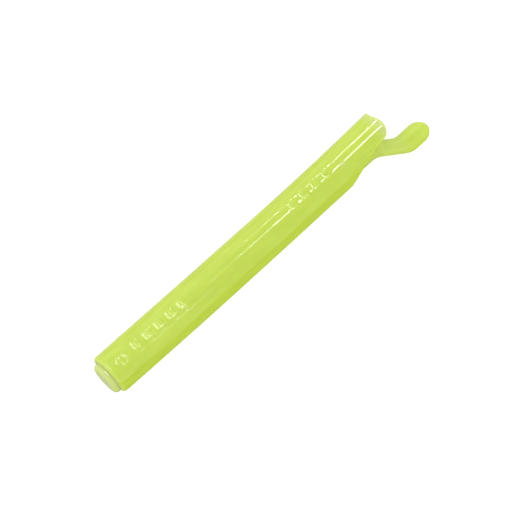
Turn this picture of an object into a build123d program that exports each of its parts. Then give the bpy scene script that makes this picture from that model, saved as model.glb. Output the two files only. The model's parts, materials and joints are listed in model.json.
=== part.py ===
"""Two-piece bag-sealing stick: a round rod with a cranked finger tongue, and a split sleeve that slides over it.

Both pieces share one axis, which runs along +X and lies level above the ground plane z = 0.
The slot of the sleeve and the tongue of the rod face the same way: towards -Y and a little downwards.
Distances called "station" are measured along the axis from the plain end face of the rod.
"""

import os
from math import cos, radians, sin, tan

from build123d import *

# ---------------------------------------------------------------- driving dimensions, mm and degrees
# whole object
total_length = 119.4
axis_height = 6.6155
side_shift = 1.886
lean_angle = 22.95

# rod
rod_radius = 5.1
rod_radius_far = 4.80
rod_taper_start_station = 25.0
rod_end_station = 106.0
rod_plain_end_round = 1.4
rod_tongue_end_round = 2.4

# tongue
tongue_width = 6.4
tongue_tip_thickness = 5.8
tongue_neck_thickness = 4.7
tongue_offset = 7.80
tongue_tip_reach = 3.7
neck_angle = 33.5
neck_axis_station = 99.02
neck_root_station = 100.6
outer_bend_radius = 8.0
inner_bend_radius = 4.0
tongue_edge_round = 2.0

# sleeve
bore_radius = 5.3
sleeve_start_station = 1.8
sleeve_end_station = 108.8
# outside of the sleeve: station, radius, and how far its centre lies towards the slot
outside_sections = (
    (1.8, 6.56, -0.15),
    (28.0, 6.54, 0.17),
    (60.0, 6.42, 0.33),
    (84.0, 6.37, 0.25),
    (97.0, 6.46, 0.06),
    (108.8, 6.60, -0.14),
)
slot_width = 4.8
rim_round = 0.40
mouth_chamfer = 0.25

# lead-in on the slot side of the sleeve's tongue end
lead_start_station = 90.2
lead_foot_station = 92.0
lead_foot_depth = 5.57
lead_mid_station = 97.4
lead_mid_depth = 3.4
lead_end_station = 105.6
lead_end_depth = 1.20
lip_knee_station = 107.75
lip_knee_height = 0.2
lip_side_height = 3.2

# two shallow notches beside the spine of the lip
notch_angle = 153.0
notch_radius = 4.5
notch_depth = 0.80

# ---------------------------------------------------------------- shared frame
slope = tan(radians(neck_angle))
out_y = -cos(radians(lean_angle))
out_z = -sin(radians(lean_angle))
# local x runs along the axis, local y points away from the tongue, local z runs across the tongue
SIDE = Plane(
    origin=(-total_length / 2, side_shift, axis_height),
    x_dir=(1, 0, 0),
    z_dir=(0, out_z, -out_y),
)
AXIS = Axis(origin=(-total_length / 2, side_shift, axis_height), direction=(1, 0, 0))


def neck_line(station, across):
    """Depth towards the tongue of a line parallel to the neck, 'across' away from its middle."""
    return slope * (station - neck_axis_station) + across / cos(radians(neck_angle))


def neck_station(depth, across):
    """Station where that line reaches the given depth."""
    return neck_axis_station + (depth - across / cos(radians(neck_angle))) / slope


# ---------------------------------------------------------------- tongue, rounded finger with an S bend
half_neck = tongue_neck_thickness / 2
half_tip = tongue_tip_thickness / 2
tip_centre_station = total_length - tongue_tip_reach
outer_depth = tongue_offset + half_tip
inner_depth = tongue_offset - half_tip
root_depth = neck_line(neck_root_station, 0)
root_dx = half_neck * sin(radians(neck_angle))
root_dy = half_neck * cos(radians(neck_angle))

with BuildPart() as tongue:
    with BuildSketch(SIDE) as tongue_sketch:
        with BuildLine() as tongue_outline:
            outer_foot = (neck_root_station - root_dx, -(root_depth + root_dy))
            outer_knee = (neck_station(outer_depth, half_neck), -outer_depth)
            tip_outer = (tip_centre_station, -outer_depth)
            tip_inner = (tip_centre_station, -inner_depth)
            inner_knee = (neck_station(inner_depth, -half_neck), -inner_depth)
            inner_foot = (neck_root_station + root_dx, -(root_depth - root_dy))
            root_end = (
                neck_root_station - half_neck * cos(radians(neck_angle)),
                -(root_depth - half_neck * sin(radians(neck_angle))),
            )
            outer_side = FilletPolyline(outer_foot, outer_knee, tip_outer, radius=outer_bend_radius)
            tip_arc = EllipticalCenterArc(
                (tip_centre_station, -tongue_offset),
                x_radius=tongue_tip_reach,
                y_radius=half_tip,
                start_angle=-90,
                arc_size=180,
            )
            inner_side = FilletPolyline(tip_inner, inner_knee, inner_foot, radius=inner_bend_radius)
            root_arc = ThreePointArc(inner_foot, root_end, outer_foot)
        make_face()
    extrude(amount=tongue_width / 2, both=True)
    near_face = tongue.faces().sort_by(Axis(origin=(0, 0, 0), direction=(0, out_z, -out_y)))[-1]
    far_face = tongue.faces().sort_by(Axis(origin=(0, 0, 0), direction=(0, out_z, -out_y)))[0]
    fillet(near_face.edges() + far_face.edges(), radius=tongue_edge_round)

# ---------------------------------------------------------------- rod with its tongue, one moulding
with BuildPart() as rod:
    with BuildSketch(SIDE) as rod_sketch:
        with BuildLine() as rod_outline:
            Polyline(
                (0, 0),
                (0, rod_radius),
                (rod_taper_start_station, rod_radius),
                (rod_end_station, rod_radius_far),
                (rod_end_station, 0),
                close=True,
            )
        make_face()
        fillet(rod_sketch.vertices().filter_by(lambda v: v.X < 1 and v.Y > 1), radius=rod_plain_end_round)
        fillet(rod_sketch.vertices().filter_by(lambda v: v.X > 100 and v.Y > 1), radius=rod_tongue_end_round)
    revolve(axis=AXIS)
    add(tongue.part)

# ---------------------------------------------------------------- sleeve, a tube split by a slot
with BuildPart() as sleeve:
    # the outside follows a slight bow, hollow on the spine side, and a slight waist
    for station, radius, towards_slot in outside_sections:
        section = Plane(
            origin=(
                station - total_length / 2,
                side_shift + towards_slot * out_y,
                axis_height + towards_slot * out_z,
            ),
            x_dir=(0, out_y, out_z),
            z_dir=(1, 0, 0),
        )
        with BuildSketch(section):
            Circle(radius)
    loft()
    fillet(sleeve.edges().sort_by(Axis.X)[0], radius=rim_round)
    fillet(sleeve.edges().sort_by(Axis.X)[-1], radius=rim_round)
    # bore with softened mouths
    with BuildSketch(SIDE) as bore_sketch:
        with BuildLine() as bore_outline:
            Polyline(
                (sleeve_start_station - 1, 0),
                (sleeve_start_station - 1, bore_radius + mouth_chamfer + 1),
                (sleeve_start_station + mouth_chamfer, bore_radius),
                (sleeve_end_station - mouth_chamfer, bore_radius),
                (sleeve_end_station + 1, bore_radius + mouth_chamfer + 1),
                (sleeve_end_station + 1, 0),
                close=True,
            )
        make_face()
    revolve(axis=AXIS, mode=Mode.SUBTRACT)
    # slot along the whole length
    with BuildSketch(SIDE) as slot_sketch:
        with Locations((total_length / 2, -6.0)):
            Rectangle(total_length + 20, 12.0)
    extrude(amount=slot_width / 2, both=True, mode=Mode.SUBTRACT)
    # lead-in: the slot opens out towards the tongue end
    with BuildSketch(SIDE) as lead_sketch:
        with BuildLine() as lead_outline:
            lead_points = [
                (lead_start_station, -7.3),
                (lead_foot_station, -lead_foot_depth),
                (lead_mid_station, -lead_mid_depth),
                (lead_end_station, -lead_end_depth),
                (lip_knee_station, lip_knee_height),
                (sleeve_end_station + 0.1, lip_side_height),
            ]
            Spline(*lead_points)
            Line(lead_points[-1], (sleeve_end_station + 5, lip_side_height))
            Line((sleeve_end_station + 5, lip_side_height), (sleeve_end_station + 5, -12.0))
            Line((sleeve_end_station + 5, -12.0), (lead_start_station, -12.0))
            Line((lead_start_station, -12.0), lead_points[0])
        make_face()
    extrude(amount=12.0, both=True, mode=Mode.SUBTRACT)
    # notches in the lip beside the spine
    for turn in (notch_angle, -notch_angle):
        radial = Plane(
            origin=(
                sleeve_end_station + notch_radius - notch_depth - total_length / 2,
                side_shift,
                axis_height,
            ),
            x_dir=(1, 0, 0),
            z_dir=(0, out_y * cos(radians(turn)) - out_z * sin(radians(turn)),
                   out_z * cos(radians(turn)) + out_y * sin(radians(turn))),
        )
        with BuildSketch(radial.offset(3.0)) as notch_sketch:
            Circle(notch_radius)
        extrude(amount=6.0, mode=Mode.SUBTRACT)

rod.part.label = "rod"
sleeve.part.label = "sleeve"

os.makedirs("parts", exist_ok=True)
export_step(rod.part, "parts/rod.step")
export_step(sleeve.part, "parts/sleeve.step")

for piece in (rod, sleeve):
    box = piece.part.bounding_box()
    print(piece.part.label, box.min, box.max, round(piece.part.volume, 1))
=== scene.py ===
"""Looks of a two-piece bag-sealing stick: a round rod with a finger tongue inside a split, sliding sleeve.

Both pieces are rebuilt here as finer meshes than the CAD solids they stand for, on the same axis and to the
same sizes, but for a few tenths of a millimetre at the bore and the tongue's tip, and up to 0.65 mm at the
lip. Local coordinates are millimetres: u along the axis from the rod's plain end, v across and away from the
slot, w across the slot. The slot and the tongue lie on the -v side.
"""

import json
import math

import bmesh
import bpy
import numpy as np
from mathutils import Matrix, Vector


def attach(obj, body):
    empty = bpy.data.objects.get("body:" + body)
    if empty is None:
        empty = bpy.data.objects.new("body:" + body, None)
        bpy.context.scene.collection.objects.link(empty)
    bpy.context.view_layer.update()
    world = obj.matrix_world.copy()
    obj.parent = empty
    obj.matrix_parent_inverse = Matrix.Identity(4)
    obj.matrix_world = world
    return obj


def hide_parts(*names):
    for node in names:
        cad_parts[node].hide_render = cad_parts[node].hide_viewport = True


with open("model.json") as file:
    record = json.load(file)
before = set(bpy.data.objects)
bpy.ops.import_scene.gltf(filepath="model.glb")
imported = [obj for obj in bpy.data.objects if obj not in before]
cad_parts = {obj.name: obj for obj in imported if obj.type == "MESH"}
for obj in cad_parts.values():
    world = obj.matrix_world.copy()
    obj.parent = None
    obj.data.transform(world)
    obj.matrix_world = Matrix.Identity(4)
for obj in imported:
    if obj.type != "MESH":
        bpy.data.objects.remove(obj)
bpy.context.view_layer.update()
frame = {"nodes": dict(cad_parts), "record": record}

MM = 0.001

# ------------------------------------------------------------------ sizes, millimetres
# rod and tongue
LEAN = math.radians(22.95)
TOTAL = 119.4
ROD_R, ROD_R_FAR, ROD_TAPER, ROD_END = 5.1, 4.80, 25.0, 106.0
ROD_ROUND, ROD_FAR_ROUND = 1.4, 2.4
TONGUE_W, NECK_T, TIP_T = 6.4, 4.7, 6.1
TONGUE_OFFSET, TIP_REACH = 7.65, 3.7
NECK_SLOPE = math.tan(math.radians(33.5))
NECK_AXIS_U, NECK_ROOT_U = 99.02, 100.6
EDGE_ROUND = 2.0
OUTER_BEND, INNER_BEND, BLEND = 5.5, 3.0, 0.9

# sleeve
BORE_R = 5.19
SLEEVE_U0, SLEEVE_U1 = 1.8, 108.8
SLOT_HALF, SLOT_BLEND = 2.4, 0.06
RIM_ROUND, INNER_ROUND, PLAIN_END_ROUND = 0.42, 0.15, 0.85
# the bore's plain mouth closes in on the rod and stands out a little
MOUTH_CLOSE, MOUTH_DOME, MOUTH_REACH = 0.05, 0.15, 1.5
# outside: station, radius, and how far its centre lies towards the slot
OUTSIDE = ((1.8, 6.56, -0.15), (28.0, 6.54, 0.17), (60.0, 6.42, 0.33), (84.0, 6.37, 0.25), (97.0, 6.46, 0.06),
           (108.8, 6.60, -0.14))
# lead-in at the tongue end: station, height of the cut above the axis
CUT = ((90.0, -6.9), (91.0, -6.1), (92.0, -5.57), (97.4, -3.4), (105.6, -1.2), (108.0, 0.15), (108.93, 2.85),
       (109.05, 3.5))
# how far the lip is cut back, by degrees round from the spine opposite the slot
LIP_DIP = ((0.0, 0.62), (9.0, 0.68), (18.0, 0.82), (27.0, 0.88), (36.0, 0.62), (46.0, 0.24), (56.0, 0.03),
           (66.0, 0.0), (180.0, 0.0))
LIP_START_U = 96.0

# ------------------------------------------------------------------ local axes in the row frame
end_mount = [m for m in frame["record"]["mounts"] if m["name"] == "rod_end_face"][0]
ORIGIN = np.array(end_mount["pos_m"], float)
V_AXIS = np.array([0.0, math.cos(LEAN), math.sin(LEAN)])
W_AXIS = np.array([0.0, -math.sin(LEAN), math.cos(LEAN)])
U_AXIS = np.array([1.0, 0.0, 0.0])


def to_row(uvw):
    """Local millimetres to row-frame metres."""
    p = np.asarray(uvw, float) * MM
    return ORIGIN + p[:, :1] * U_AXIS + p[:, 1:2] * V_AXIS + p[:, 2:3] * W_AXIS


def to_local(xyz):
    """Row-frame metres to local millimetres."""
    d = np.asarray(xyz, float) - ORIGIN
    return np.stack([d @ U_AXIS, d @ V_AXIS, d @ W_AXIS], 1) / MM


def new_mesh_object(name, verts, faces):
    """A smooth-shaded mesh object from points and faces, in the scene."""
    mesh = bpy.data.meshes.new(name)
    mesh.from_pydata([tuple(p) for p in verts], [], faces)
    mesh.update()
    mesh.validate()
    for p in mesh.polygons:
        p.use_smooth = True
    obj = bpy.data.objects.new(name, mesh)
    bpy.context.scene.collection.objects.link(obj)
    return obj


def cubic(points, x):
    """Natural cubic through the points (x, y), evaluated at x."""
    xs = np.array([p[0] for p in points], float)
    ys = np.array([p[1] for p in points], float)
    n = len(xs)
    h = np.diff(xs)
    a = np.zeros((n, n))
    b = np.zeros(n)
    a[0, 0] = a[-1, -1] = 1
    for i in range(1, n - 1):
        a[i, i - 1], a[i, i], a[i, i + 1] = h[i - 1], 2 * (h[i - 1] + h[i]), h[i]
        b[i] = 6 * ((ys[i + 1] - ys[i]) / h[i] - (ys[i] - ys[i - 1]) / h[i - 1])
    m = np.linalg.solve(a, b)
    x = np.clip(np.asarray(x, float), xs[0], xs[-1])
    k = np.clip(np.searchsorted(xs, x) - 1, 0, n - 2)
    t0, t1 = xs[k + 1] - x, x - xs[k]
    return (m[k] * t0**3 + m[k + 1] * t1**3) / (6 * h[k]) + (ys[k] / h[k] - m[k] * h[k] / 6) * t0 + (
        ys[k + 1] / h[k] - m[k + 1] * h[k] / 6) * t1


def smooth01(x):
    """Smooth step from 0 to 1."""
    x = np.clip(x, 0, 1)
    return x * x * (3 - 2 * x)


def rise(u, start, length):
    """Smooth step up that starts at a station and takes this length."""
    return smooth01((u - start) / length)


def fall(u, end, length):
    """Smooth step down that takes this length and ends at a station."""
    return smooth01((end - u) / length)


# ------------------------------------------------------------------ sleeve
def outside_radius(u):
    """Radius of the sleeve's outside at a station."""
    return cubic([(s[0], s[1]) for s in OUTSIDE], u)


def outside_shift(u):
    """How far the outside's centre lies towards the slot at a station."""
    return cubic([(s[0], s[2]) for s in OUTSIDE], u)


def cut_height(u):
    """Height of the lead-in cut above the axis at a station."""
    return cubic(CUT, u)


def opening(u, radius, shift):
    """Half angle of the gap at this station, from the middle of the slot, for a circle of this radius."""
    plain = math.asin(SLOT_HALF / radius)
    if u <= CUT[0][0]:
        return plain
    c = -(float(cut_height(u)) + shift) / radius
    lead = math.acos(max(-1.0, min(1.0, c)))
    return max(plain, lead) + SLOT_BLEND * math.exp(-abs(plain - lead) / SLOT_BLEND) * 0.5


# grip pads, ring mark and gate spot on the outside: place along, turn from the slot, size and height
PAD_PITCH = 4.42
PADS = [12.9 + PAD_PITCH * i for i in range(5)] + [73.4 + PAD_PITCH * i for i in range(4)]
PAD_TURN, PAD_HALF_U, PAD_HALF_ARC, PAD_CORNER = math.radians(117.0), 1.55, 2.25, 0.6
PAD_HEIGHT, PAD_EDGE, GROOVE_DEPTH, GROOVE_U, GROOVE_W = 0.12, 0.85, 0.05, 0.50, 0.30
GROOVE_MARGIN, GROOVE_FADE = 0.7, 0.4
RING_U, RING_TURN, RING_R = 7.0, math.radians(109.0), 1.65
RING_HEIGHT, RING_WIDTH, RING_HOLLOW = 0.06, 0.35, 0.08
GATE_U, GATE_TURN, GATE_R, GATE_HEIGHT = 92.0, math.radians(105.0), 0.9, 0.09
SPOT_EDGE = 0.5


def relief(u, turn, radius):
    """Moulded detail on the outside: low grip pads, a round mark near the plain end and a gate spot."""
    out = np.zeros_like(turn)
    across = np.abs(turn - PAD_TURN) * radius
    grooved = smooth01((PAD_HALF_ARC - GROOVE_MARGIN - across) / GROOVE_FADE)
    for c in PADS:
        qx = abs(u - c) - PAD_HALF_U + PAD_CORNER
        qy = across - PAD_HALF_ARC + PAD_CORNER
        d = np.hypot(max(qx, 0), np.maximum(qy, 0)) + np.minimum(np.maximum(qx, qy), 0) - PAD_CORNER
        groove = sum(math.exp(-((u - c - x) / GROOVE_W) ** 2) for x in (-GROOVE_U, GROOVE_U))
        out += smooth01(-d / PAD_EDGE) * (PAD_HEIGHT - GROOVE_DEPTH * groove * grooved)
    d = np.hypot(u - RING_U, (turn - RING_TURN) * radius)
    ring = RING_HEIGHT * np.exp(-((d - RING_R) / RING_WIDTH) ** 2)
    out += ring - RING_HOLLOW * smooth01((RING_R - d) / SPOT_EDGE)
    d = np.hypot(u - GATE_U, (turn - GATE_TURN) * radius)
    out += GATE_HEIGHT * smooth01((GATE_R - d) / SPOT_EDGE)
    return out


def waviness(u, turn):
    """Slight sink and draw of a long thin moulding, about a hundredth of a millimetre."""
    return (0.010 * np.sin(u * 0.21 + 2.1 * np.cos(turn)) + 0.004 * np.sin(u * 0.53 + 3.0 * turn)
            + 0.002 * np.sin(u * 1.31 - 5.0 * turn + 1.0))


# grid of the sleeve: steps close to an edge, runs of rows as (first, last, step), points between the edges
EDGE_STEPS = (0.0, 0.02, 0.07, 0.15, 0.27, RIM_ROUND, 0.62)
ROW_RUNS = ((3.2, 33.6, 0.2), (33.6, 70.6, 0.7), (70.6, 94.0, 0.2), (94.0, 107.8, 0.3))
POINTS_AROUND = 132
# the plain end has a larger round, so wider steps
PLAIN_END_STRETCH, PLAIN_ROUND_REACH, PLAIN_ROUND_FADE = 2.0, 3.0, 2.0
RELIEF_FADE = 1.2


def sleeve_side(u, r, shift, outer, mouth):
    """One side of the sleeve's wall at a station: local points from one edge of the slot to the other."""
    start = opening(u, r, shift)
    span = 2 * (math.pi - start)
    edge = np.array(EDGE_STEPS) / r
    middle = np.linspace(edge[-1], span - edge[-1], POINTS_AROUND)[1:-1]
    along = np.concatenate([edge, middle, (span - edge)[::-1]])
    turn = start + along
    # both halves of the wall are alike, so fold counts the turn from the slot on either side
    fold = np.minimum(turn, 2 * math.pi - turn)
    d_slot = np.minimum(along, span - along) * r
    d_rim = min(u - SLEEVE_U0, SLEEVE_U1 - u)
    plain_end = float(smooth01((SLEEVE_U0 + PLAIN_ROUND_REACH - u) / PLAIN_ROUND_FADE))
    soft = RIM_ROUND + (PLAIN_END_ROUND - RIM_ROUND) * plain_end if outer else INNER_ROUND
    # the edges at the slot and at the ends are rounded: inset is how far the wall draws back from its radius
    q = np.minimum(soft, np.hypot(np.maximum(0, soft - d_slot), max(0.0, soft - d_rim)))
    inset = soft - np.sqrt(np.maximum(0, soft**2 - q**2))
    dip = np.maximum(0, cubic(LIP_DIP, 180.0 - np.degrees(fold)))
    uu = u - dip * smooth01((u - LIP_START_U) / (SLEEVE_U1 - LIP_START_U)) ** 3
    if outer:
        fade = smooth01(d_slot / RELIEF_FADE) * smooth01(d_rim / RELIEF_FADE)
        rr = r - inset + np.where(turn <= math.pi, relief(u, turn, r), 0) * fade + waviness(u, fold) * fade
    else:
        rr = r + inset
        uu = uu - MOUTH_DOME * mouth
    return np.stack([uu, -shift - rr * np.cos(turn), rr * np.sin(turn)], 1)


def build_sleeve():
    """The sleeve as a grid: a closed loop of wall at each station, joined lengthwise, closed at both ends."""
    between = []
    for first, last, step in ROW_RUNS:
        between += list(np.arange(first, last - step / 2, step))
    rows = [SLEEVE_U0 + PLAIN_END_STRETCH * f for f in EDGE_STEPS] + between
    rows += [SLEEVE_U1 - f for f in reversed(EDGE_STEPS)]
    verts, loops = [], []
    for u in rows:
        mouth = float(smooth01((SLEEVE_U0 + MOUTH_REACH - u) / MOUTH_REACH))
        outside = sleeve_side(u, float(outside_radius(u)), float(outside_shift(u)), True, mouth)
        bore = sleeve_side(u, BORE_R - MOUTH_CLOSE * mouth, 0.0, False, mouth)
        loop = np.vstack([outside, bore[::-1]])
        loops.append(list(range(len(verts), len(verts) + len(loop))))
        verts.extend(loop)
    n = len(loops[0])
    half = n // 2
    faces = []
    for a, b in zip(loops[:-1], loops[1:]):
        for j in range(n):
            k = (j + 1) % n
            faces.append((a[j], b[j], b[k], a[k]))
    for j in range(half - 1):
        a, b = loops[0], loops[-1]
        faces.append((a[j], a[j + 1], a[n - 2 - j], a[n - 1 - j]))
        faces.append((b[j], b[n - 1 - j], b[n - 2 - j], b[j + 1]))
    obj = new_mesh_object("sleeve_shell", to_row(verts), faces)
    fix_normals(obj)
    return obj


def fix_normals(obj):
    """Merges doubled points and turns every face outwards."""
    bm = bmesh.new()
    bm.from_mesh(obj.data)
    bmesh.ops.remove_doubles(bm, verts=bm.verts, dist=1e-7)
    bmesh.ops.recalc_face_normals(bm, faces=bm.faces)
    bm.to_mesh(obj.data)
    bm.free()
    for p in obj.data.polygons:
        p.use_smooth = True
    obj.data.update()


# ------------------------------------------------------------------ rod and tongue, one moulding
CORNER_STEPS, TIP_STEPS, ROOT_STEPS = 14, 32, 12
TONGUE_ZONE_U, FAR_AWAY = 90.0, 50.0
VOXEL, GRADIENT_STEP, LONGEST_MOVE, FIT_PASSES = 0.36, 0.01, 0.4, 4


def rounded_corner(before, corner, after, radius):
    """Points of the arc that rounds a corner between two straight runs."""
    p, c, q = (np.array(x, float) for x in (before, corner, after))
    a, b = (p - c) / np.linalg.norm(p - c), (q - c) / np.linalg.norm(q - c)
    half = math.acos(float(a @ b)) / 2
    middle = c + (a + b) / np.linalg.norm(a + b) * radius / math.sin(half)
    first, last = c + a * radius / math.tan(half), c + b * radius / math.tan(half)
    t0, t1 = (math.atan2(*(x - middle)[::-1]) for x in (first, last))
    turn = (t1 - t0 + math.pi) % (2 * math.pi) - math.pi
    angles = [t0 + turn * i / CORNER_STEPS for i in range(CORNER_STEPS + 1)]
    return [tuple(middle + radius * np.array([math.cos(t), math.sin(t)])) for t in angles]


def tongue_outline():
    """Closed outline of the tongue in the side plane, as (station, depth towards the slot side)."""
    lean = math.atan(NECK_SLOPE)
    half, tip = NECK_T / 2, TIP_T / 2
    centre = TOTAL - TIP_REACH
    root = (NECK_ROOT_U - NECK_AXIS_U) * NECK_SLOPE

    def neck_station(depth, across):
        return NECK_AXIS_U + (depth - across / math.cos(lean)) / NECK_SLOPE

    outer_foot = (NECK_ROOT_U - half * math.sin(lean), root + half * math.cos(lean))
    inner_foot = (NECK_ROOT_U + half * math.sin(lean), root - half * math.cos(lean))
    outer_knee = (neck_station(TONGUE_OFFSET + tip, half), TONGUE_OFFSET + tip)
    inner_knee = (neck_station(TONGUE_OFFSET - tip, -half), TONGUE_OFFSET - tip)
    line = [outer_foot] + rounded_corner(outer_foot, outer_knee, (centre, TONGUE_OFFSET + tip), OUTER_BEND)
    for i in range(TIP_STEPS + 1):
        a = math.pi / 2 - math.pi * i / TIP_STEPS
        line.append((centre + TIP_REACH * math.cos(a), TONGUE_OFFSET + tip * math.sin(a)))
    line += rounded_corner((centre, TONGUE_OFFSET - tip), inner_knee, inner_foot, INNER_BEND) + [inner_foot]
    for i in range(1, ROOT_STEPS):
        a = lean + math.pi / 2 + math.pi * (1 - i / ROOT_STEPS)
        line.append((NECK_ROOT_U + half * math.cos(a), root + half * math.sin(a)))
    return np.array(line)


def outline_distance(x, y, outline):
    """Signed distance to a closed outline, negative inside."""
    best = np.full(len(x), 1e9)
    inside = np.zeros(len(x), bool)
    for (x0, y0), (x1, y1) in zip(outline, np.roll(outline, -1, axis=0)):
        dx, dy = x1 - x0, y1 - y0
        t = np.clip(((x - x0) * dx + (y - y0) * dy) / (dx * dx + dy * dy + 1e-12), 0, 1)
        best = np.minimum(best, (x - x0 - t * dx) ** 2 + (y - y0 - t * dy) ** 2)
        if y0 != y1:
            inside ^= ((y0 > y) != (y1 > y)) & (x < (x1 - x0) * (y - y0) / (y1 - y0) + x0)
    return np.where(inside, -1, 1) * np.sqrt(best)


def rounded_box(x, y, cx, hx, hy, r):
    """Signed distance in a plane to a box centred at (cx, 0) with rounded corners."""
    qx, qy = np.abs(x - cx) - hx + r, np.abs(y) - hy + r
    return np.hypot(np.maximum(qx, 0), np.maximum(qy, 0)) + np.minimum(np.maximum(qx, qy), 0) - r


TONGUE_LINE = tongue_outline()


def rod_distance(p):
    """Signed distance in millimetres to the rod and its tongue, blended where they meet."""
    u, v, w = p[:, 0], p[:, 1], p[:, 2]
    rho = np.hypot(v, w)
    r_here = ROD_R + (ROD_R_FAR - ROD_R) * np.clip((u - ROD_TAPER) / (ROD_END - ROD_TAPER), 0, 1)
    near = rounded_box(u, rho + (ROD_R - r_here), ROD_END / 2, ROD_END / 2, ROD_R, ROD_ROUND)
    far = rounded_box(u, rho + (ROD_R - r_here), ROD_END / 2, ROD_END / 2, ROD_R, ROD_FAR_ROUND)
    body = np.where(u < ROD_END / 2, near, far)
    tongue = np.full(len(u), FAR_AWAY)
    close = u > TONGUE_ZONE_U
    flat = outline_distance(u[close], -v[close], TONGUE_LINE)
    qx, qy = flat + EDGE_ROUND, np.abs(w[close]) - TONGUE_W / 2 + EDGE_ROUND
    outside = np.hypot(np.maximum(qx, 0), np.maximum(qy, 0))
    tongue[close] = outside + np.minimum(np.maximum(qx, qy), 0) - EDGE_ROUND
    # smooth minimum of the two distances, which leaves a small fillet at the tongue's root
    h = np.clip(0.5 + 0.5 * (body - tongue) / BLEND, 0, 1)
    return body * (1 - h) + tongue * h - BLEND * h * (1 - h)


def build_rod():
    """The rod as an even mesh, remeshed from the CAD node and then moved onto the exact surface."""
    source = frame["nodes"]["rod"]
    obj = bpy.data.objects.new("rod_moulding", source.data.copy())
    bpy.context.scene.collection.objects.link(obj)
    remesh = obj.modifiers.new("even", "REMESH")
    remesh.mode = "VOXEL"
    remesh.voxel_size = VOXEL * MM
    remesh.use_smooth_shade = True
    bpy.context.view_layer.update()
    evaluated = obj.evaluated_get(bpy.context.evaluated_depsgraph_get())
    mesh = bpy.data.meshes.new_from_object(evaluated)
    obj.modifiers.clear()
    obj.data = mesh
    mesh.name = "rod_moulding"
    mesh.materials.clear()
    co = np.zeros(len(mesh.vertices) * 3)
    mesh.vertices.foreach_get("co", co)
    p = to_local(co.reshape(-1, 3))
    for _ in range(FIT_PASSES):
        d = rod_distance(p)
        g = np.stack([rod_distance(p + axis * GRADIENT_STEP) - d for axis in np.eye(3)], 1) / GRADIENT_STEP
        g /= np.maximum(np.linalg.norm(g, axis=1, keepdims=True), 1e-6)
        p = p - np.clip(d, -LONGEST_MOVE, LONGEST_MOVE)[:, None] * g
    mesh.vertices.foreach_set("co", to_row(p).ravel())
    mesh.update()
    for f in mesh.polygons:
        f.use_smooth = True
    return obj


# ------------------------------------------------------------------ material
def node(tree, kind, at, **inputs):
    """A shader node at a place, with its inputs set by name."""
    n = tree.nodes.new(kind)
    n.location = at
    for key, value in inputs.items():
        n.inputs[key.replace("_", " ")].default_value = value
    return n


def colour_mix(tree, at):
    """A colour mix node: its factor, its two colours and its result."""
    n = node(tree, "ShaderNodeMix", at)
    n.data_type = "RGBA"
    first, second = (socket for socket in n.inputs if socket.type == "RGBA")
    return n.inputs[0], first, second, next(socket for socket in n.outputs if socket.type == "RGBA")


# painted light: a paler, greyer colour that stands in for light through thin walls and lifts shaded crevices
PAINTED_LIGHT_COLOUR = (0.56, 0.64, 0.22, 1.0)
SMOOTH, SCUFFED, MATTE_GAIN = 0.06, 0.17, 0.30
STREAK_SCALE = (90.0, 420.0, 420.0)


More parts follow.
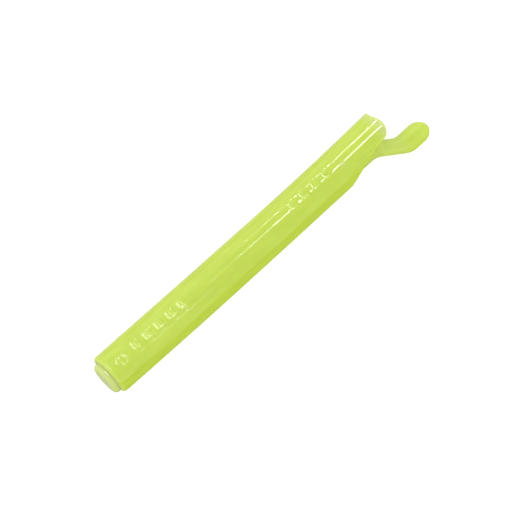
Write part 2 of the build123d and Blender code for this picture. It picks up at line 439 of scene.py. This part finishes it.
def plastic(name, deep, light, clear, seed):
    """Glossy translucent lime plastic: clouding drawn out along the moulding, fine scuffs, orange peel."""
    mat = bpy.data.materials.new(name)
    mat.use_nodes = True
    tree = mat.node_tree
    tree.nodes.clear()
    link = tree.links.new
    out = node(tree, "ShaderNodeOutputMaterial", (900, 0))
    bsdf = node(tree, "ShaderNodeBsdfPrincipled", (600, 0))
    link(bsdf.outputs["BSDF"], out.inputs["Surface"])
    bsdf.inputs["IOR"].default_value = 1.49
    bsdf.inputs["Subsurface Weight"].default_value = 0.55
    bsdf.inputs["Subsurface Radius"].default_value = (1.0, 1.0, 0.25)
    bsdf.inputs["Subsurface Scale"].default_value = 0.0022
    bsdf.inputs["Transmission Weight"].default_value = clear
    bsdf.inputs["Specular IOR Level"].default_value = 0.5

    coords = node(tree, "ShaderNodeTexCoord", (-1300, 0))
    stretch = node(tree, "ShaderNodeMapping", (-1100, 0))
    stretch.inputs["Scale"].default_value = STREAK_SCALE
    stretch.inputs["Location"].default_value = (seed, seed * 0.7, 0.0)
    link(coords.outputs["Object"], stretch.inputs["Vector"])
    cloud = node(tree, "ShaderNodeTexNoise", (-880, 200), Scale=1.0, Detail=5.0, Roughness=0.55)
    link(stretch.outputs["Vector"], cloud.inputs["Vector"])
    ramp = node(tree, "ShaderNodeValToRGB", (-650, 200))
    ramp.color_ramp.elements[0].position = 0.36
    ramp.color_ramp.elements[1].position = 0.68
    ramp.color_ramp.elements[0].color = (*deep, 1.0)
    ramp.color_ramp.elements[1].color = (*light, 1.0)
    link(cloud.outputs["Fac"], ramp.inputs["Fac"])

    # painted light: a paler, greyer colour is mixed in where the attribute asks for it, at the lip and plain
    # ends where light would shine through the thin wall, and over shaded crevices
    amount, body, edge, colour = colour_mix(tree, (-300, 200))
    edge.default_value = PAINTED_LIGHT_COLOUR
    thin = node(tree, "ShaderNodeAttribute", (-650, 450))
    thin.attribute_name = "painted_light"
    link(thin.outputs["Fac"], amount)
    link(ramp.outputs["Color"], body)
    link(colour, bsdf.inputs["Base Color"])

    # fine handling scuffs raise the roughness a little, and some areas are matt
    scuff = node(tree, "ShaderNodeTexNoise", (-880, -150), Scale=900.0, Detail=8.0, Roughness=0.65)
    link(coords.outputs["Object"], scuff.inputs["Vector"])
    rough = node(tree, "ShaderNodeMapRange", (-400, -150))
    rough.inputs["From Min"].default_value = 0.42
    rough.inputs["From Max"].default_value = 0.75
    rough.inputs["To Min"].default_value = SMOOTH
    rough.inputs["To Max"].default_value = SCUFFED
    link(scuff.outputs["Fac"], rough.inputs["Value"])
    matte = node(tree, "ShaderNodeAttribute", (-400, -350))
    matte.attribute_name = "matte"
    finish = node(tree, "ShaderNodeMath", (-150, -200))
    finish.operation = "MULTIPLY_ADD"
    finish.inputs[1].default_value = MATTE_GAIN
    link(matte.outputs["Fac"], finish.inputs[0])
    link(rough.outputs["Result"], finish.inputs[2])
    link(finish.outputs["Value"], bsdf.inputs["Roughness"])

    # faint orange peel of the mould steel
    peel = node(tree, "ShaderNodeTexNoise", (-880, -450), Scale=520.0, Detail=3.0, Roughness=0.5)
    link(coords.outputs["Object"], peel.inputs["Vector"])
    bump = node(tree, "ShaderNodeBump", (300, -350), Strength=0.10, Distance=0.0002)
    link(peel.outputs["Fac"], bump.inputs["Height"])
    link(bump.outputs["Normal"], bsdf.inputs["Normal"])
    return mat


def mark(obj, name, amount):
    """Stores an amount from 0 to 1 at each point of the mesh, from its local place."""
    co = np.zeros(len(obj.data.vertices) * 3)
    obj.data.vertices.foreach_get("co", co)
    p = to_local(co.reshape(-1, 3))
    layer = obj.data.attributes.new(name, "FLOAT", "POINT")
    layer.data.foreach_set("value", np.clip(amount(p[:, 0], p[:, 1], p[:, 2]), 0, 1).astype(np.float32))


# each of these gives the amount of one attribute from the local coordinates of the points
# painted light on the sleeve: paler towards the lip, where light would come through the thin wall, and at the
# plain end to lighten the shaded crevice against the rod; also a paler spot over the gate
def sleeve_painted_light(u, v, w):
    turn = np.degrees(np.abs(np.arctan2(w, -v)))
    spot = np.exp(-((u - GATE_U) / 1.1) ** 2 - ((turn - math.degrees(GATE_TURN)) / 9.0) ** 2)
    return 0.9 * rise(u, 104.0, 4.5) + 0.5 * fall(u, 2.6, 0.8) + 0.45 * spot


# painted light on the rod: paler where its plain end stands out of the sleeve, as a painted reflection of the
# white surroundings and to lighten the shaded crevice at the sleeve's mouth; paler at the tongue's root,
# which lies in the sleeve's shade; a little paler towards the tongue's tip
def rod_painted_light(u, v, w):
    root = rise(u, 96.0, 4.0) * fall(u, 113.0, 5.0)
    return 0.9 * fall(u, 8.0, 6.5) + 0.3 * root + 0.1 * rise(u, 112.0, 6.0)


def sleeve_matte(u, v, w):
    return rise(u, 107.7, 0.6) + fall(u, 3.0, 0.6)


def rod_matte(u, v, w):
    return rise(u, 101.0, 5.0) + 0.5 * fall(u, 1.2, 1.2)


def dress(obj, mat):
    """Gives the object this material alone."""
    obj.data.materials.clear()
    obj.data.materials.append(mat)


sleeve = build_sleeve()
rod = build_rod()
sleeve_mat = plastic("lime_sleeve_plastic", (0.495, 0.63, 0.056), (0.535, 0.67, 0.076), 0.08, 3.0)
rod_mat = plastic("lime_rod_plastic", (0.50, 0.635, 0.052), (0.54, 0.675, 0.070), 0.05, 11.0)
mark(sleeve, "painted_light", sleeve_painted_light)
mark(sleeve, "matte", sleeve_matte)
mark(rod, "painted_light", rod_painted_light)
mark(rod, "matte", rod_matte)
dress(sleeve, sleeve_mat)
dress(rod, rod_mat)
dress(frame["nodes"]["sleeve"], sleeve_mat)
dress(frame["nodes"]["rod"], rod_mat)
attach(sleeve, "sleeve")
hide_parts("sleeve")
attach(rod, "rod")
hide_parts("rod")

# ------------------------------------------------------------------ floor, light, camera
scene = bpy.context.scene

# a pale matt table that glows a little and stays out of the plastic's reflections
floor_mesh = bpy.data.meshes.new("floor")
floor_mesh.from_pydata([(-3, -3, 0), (3, -3, 0), (3, 3, 0), (-3, 3, 0)], [], [(0, 1, 2, 3)])
floor = bpy.data.objects.new("floor", floor_mesh)
scene.collection.objects.link(floor)
floor.visible_glossy = False
floor_mat = bpy.data.materials.new("white_light_table")
floor_mat.use_nodes = True
floor_shader = floor_mat.node_tree.nodes["Principled BSDF"]
floor_shader.inputs["Base Color"].default_value = (0.45, 0.45, 0.45, 1)
floor_shader.inputs["Roughness"].default_value = 0.9
floor_shader.inputs["Specular IOR Level"].default_value = 0.1
floor_shader.inputs["Emission Color"].default_value = (1.0, 1.0, 1.0, 1)
floor_shader.inputs["Emission Strength"].default_value = 0.72
floor_mesh.materials.append(floor_mat)

# white sky; below the horizon it is darker, and darkest towards the tongue's side
SKY_STRENGTH = 1.18
BELOW_HORIZON = ((0.20, 0.12), (0.42, 0.28), (0.60, 0.38), (0.80, 0.60))
world = bpy.data.worlds.new("studio")
scene.world = world
world.use_nodes = True
sky_tree = world.node_tree
sky = sky_tree.nodes["Background"]
sky.inputs["Strength"].default_value = SKY_STRENGTH
direction = node(sky_tree, "ShaderNodeTexCoord", (-1000, 0))
split = node(sky_tree, "ShaderNodeSeparateXYZ", (-800, 0))
horizon = node(sky_tree, "ShaderNodeMapRange", (-600, 150))
horizon.inputs["From Min"].default_value = 0.0
horizon.inputs["From Max"].default_value = 0.10
across = node(sky_tree, "ShaderNodeMapRange", (-600, -150))
across.inputs["From Min"].default_value = -1.0
below = node(sky_tree, "ShaderNodeValToRGB", (-400, -150))
for place, level in BELOW_HORIZON:
    stop = below.color_ramp.elements.new(place)
    stop.color = (level, level, level, 1)
for spare in (0, -1):
    below.color_ramp.elements.remove(below.color_ramp.elements[spare])
height, low, high, sky_colour = colour_mix(sky_tree, (-150, 0))
high.default_value = (1, 1, 1, 1)
wire = sky_tree.links.new
wire(direction.outputs["Generated"], split.inputs["Vector"])
wire(split.outputs["Z"], horizon.inputs["Value"])
wire(split.outputs["Y"], across.inputs["Value"])
wire(across.outputs["Result"], below.inputs["Fac"])
wire(below.outputs["Color"], low)
wire(horizon.outputs["Result"], height)
wire(sky_colour, sky.inputs["Color"])
scene.view_settings.view_transform = "Standard"


def aim(obj, at):
    """Turns a camera to look at a point."""
    obj.rotation_euler = (Vector(at) - obj.location).to_track_quat("-Z", "Y").to_euler()


def softbox(name, over_angle, distance, along, size_u, size_across, radiance):
    """A flat light parallel to the stick; over_angle goes round the stick from level on the slot side."""
    a = math.radians(over_angle)
    axis = ORIGIN + U_AXIS * (TOTAL / 2) * MM
    out = np.array([0.0, -math.cos(a), math.sin(a)])
    data = bpy.data.lights.new(name, "AREA")
    data.shape = "RECTANGLE"
    data.size, data.size_y = size_u, size_across
    data.energy = radiance * math.pi * size_u * size_across
    obj = bpy.data.objects.new(name, data)
    obj.matrix_world = Matrix((
        (1, 0, 0, axis[0] + along), (0, out[2], out[1], axis[1] + out[1] * distance),
        (0, -out[1], out[2], axis[2] + out[2] * distance), (0, 0, 0, 1)))
    scene.collection.objects.link(obj)
    return obj


# camera: direction it looks in, distance to the stick in metres, width of the view there and how far the
# stick's middle lies right of and above the middle of the view in millimetres
LOOK_AZ, LOOK_EL, DISTANCE = math.radians(46.85), math.radians(75.08), 1.4196
VIEW_WIDTH, STICK_RIGHT, STICK_ABOVE = 148.4442, 0.7108, 3.7882
SENSOR = 36.0
STICK_MIDDLE = (0, 0, 0.0065)
flat = math.cos(LOOK_EL)
look = np.array([math.cos(LOOK_AZ) * flat, math.sin(LOOK_AZ) * flat, -math.sin(LOOK_EL)])
right = np.cross(look, [0, 0, 1])
right /= np.linalg.norm(right)
up = np.cross(right, look)
centre = np.array(STICK_MIDDLE) - (right * STICK_RIGHT + up * STICK_ABOVE) * MM
cam_data = bpy.data.cameras.new("camera")
cam_data.sensor_width = SENSOR
cam_data.lens = DISTANCE / (VIEW_WIDTH * MM) * SENSOR
cam_data.clip_start = 0.01
cam = bpy.data.objects.new("camera", cam_data)
cam.location = Vector(centre - look * DISTANCE)
scene.collection.objects.link(cam)
aim(cam, centre)
scene.camera = cam

# Lights seen only in reflections: two strips over the tongue end make its two long highlight lines, a small
# one below them adds a short line, and a broad panel over the plain end shows up the grip pads there.
# Each is: name, angle over the stick, place along it, length, width, radiance.
REFLECTED = (
    ("strip_side", 131.0, 0.2145, 0.054, 0.13, 17.0),
    ("strip_top", 94.0, 0.2105, 0.066, 0.13, 17.0),
    ("strip_low", 62.0, 0.115, 0.030, 0.05, 8.0),
    ("far_panel", 112.0, -0.14, 0.30, 0.70, 6.0),
)
REFLECTED_DISTANCE = 0.9
for name, over_angle, along, size_u, width, radiance in REFLECTED:
    softbox(name, over_angle, REFLECTED_DISTANCE, along, size_u, width, radiance).visible_diffuse = False
# a broad soft wall of light for shape
softbox("wall", 150.0, 2.0, 0.0, 3.0, 2.4, 0.3)
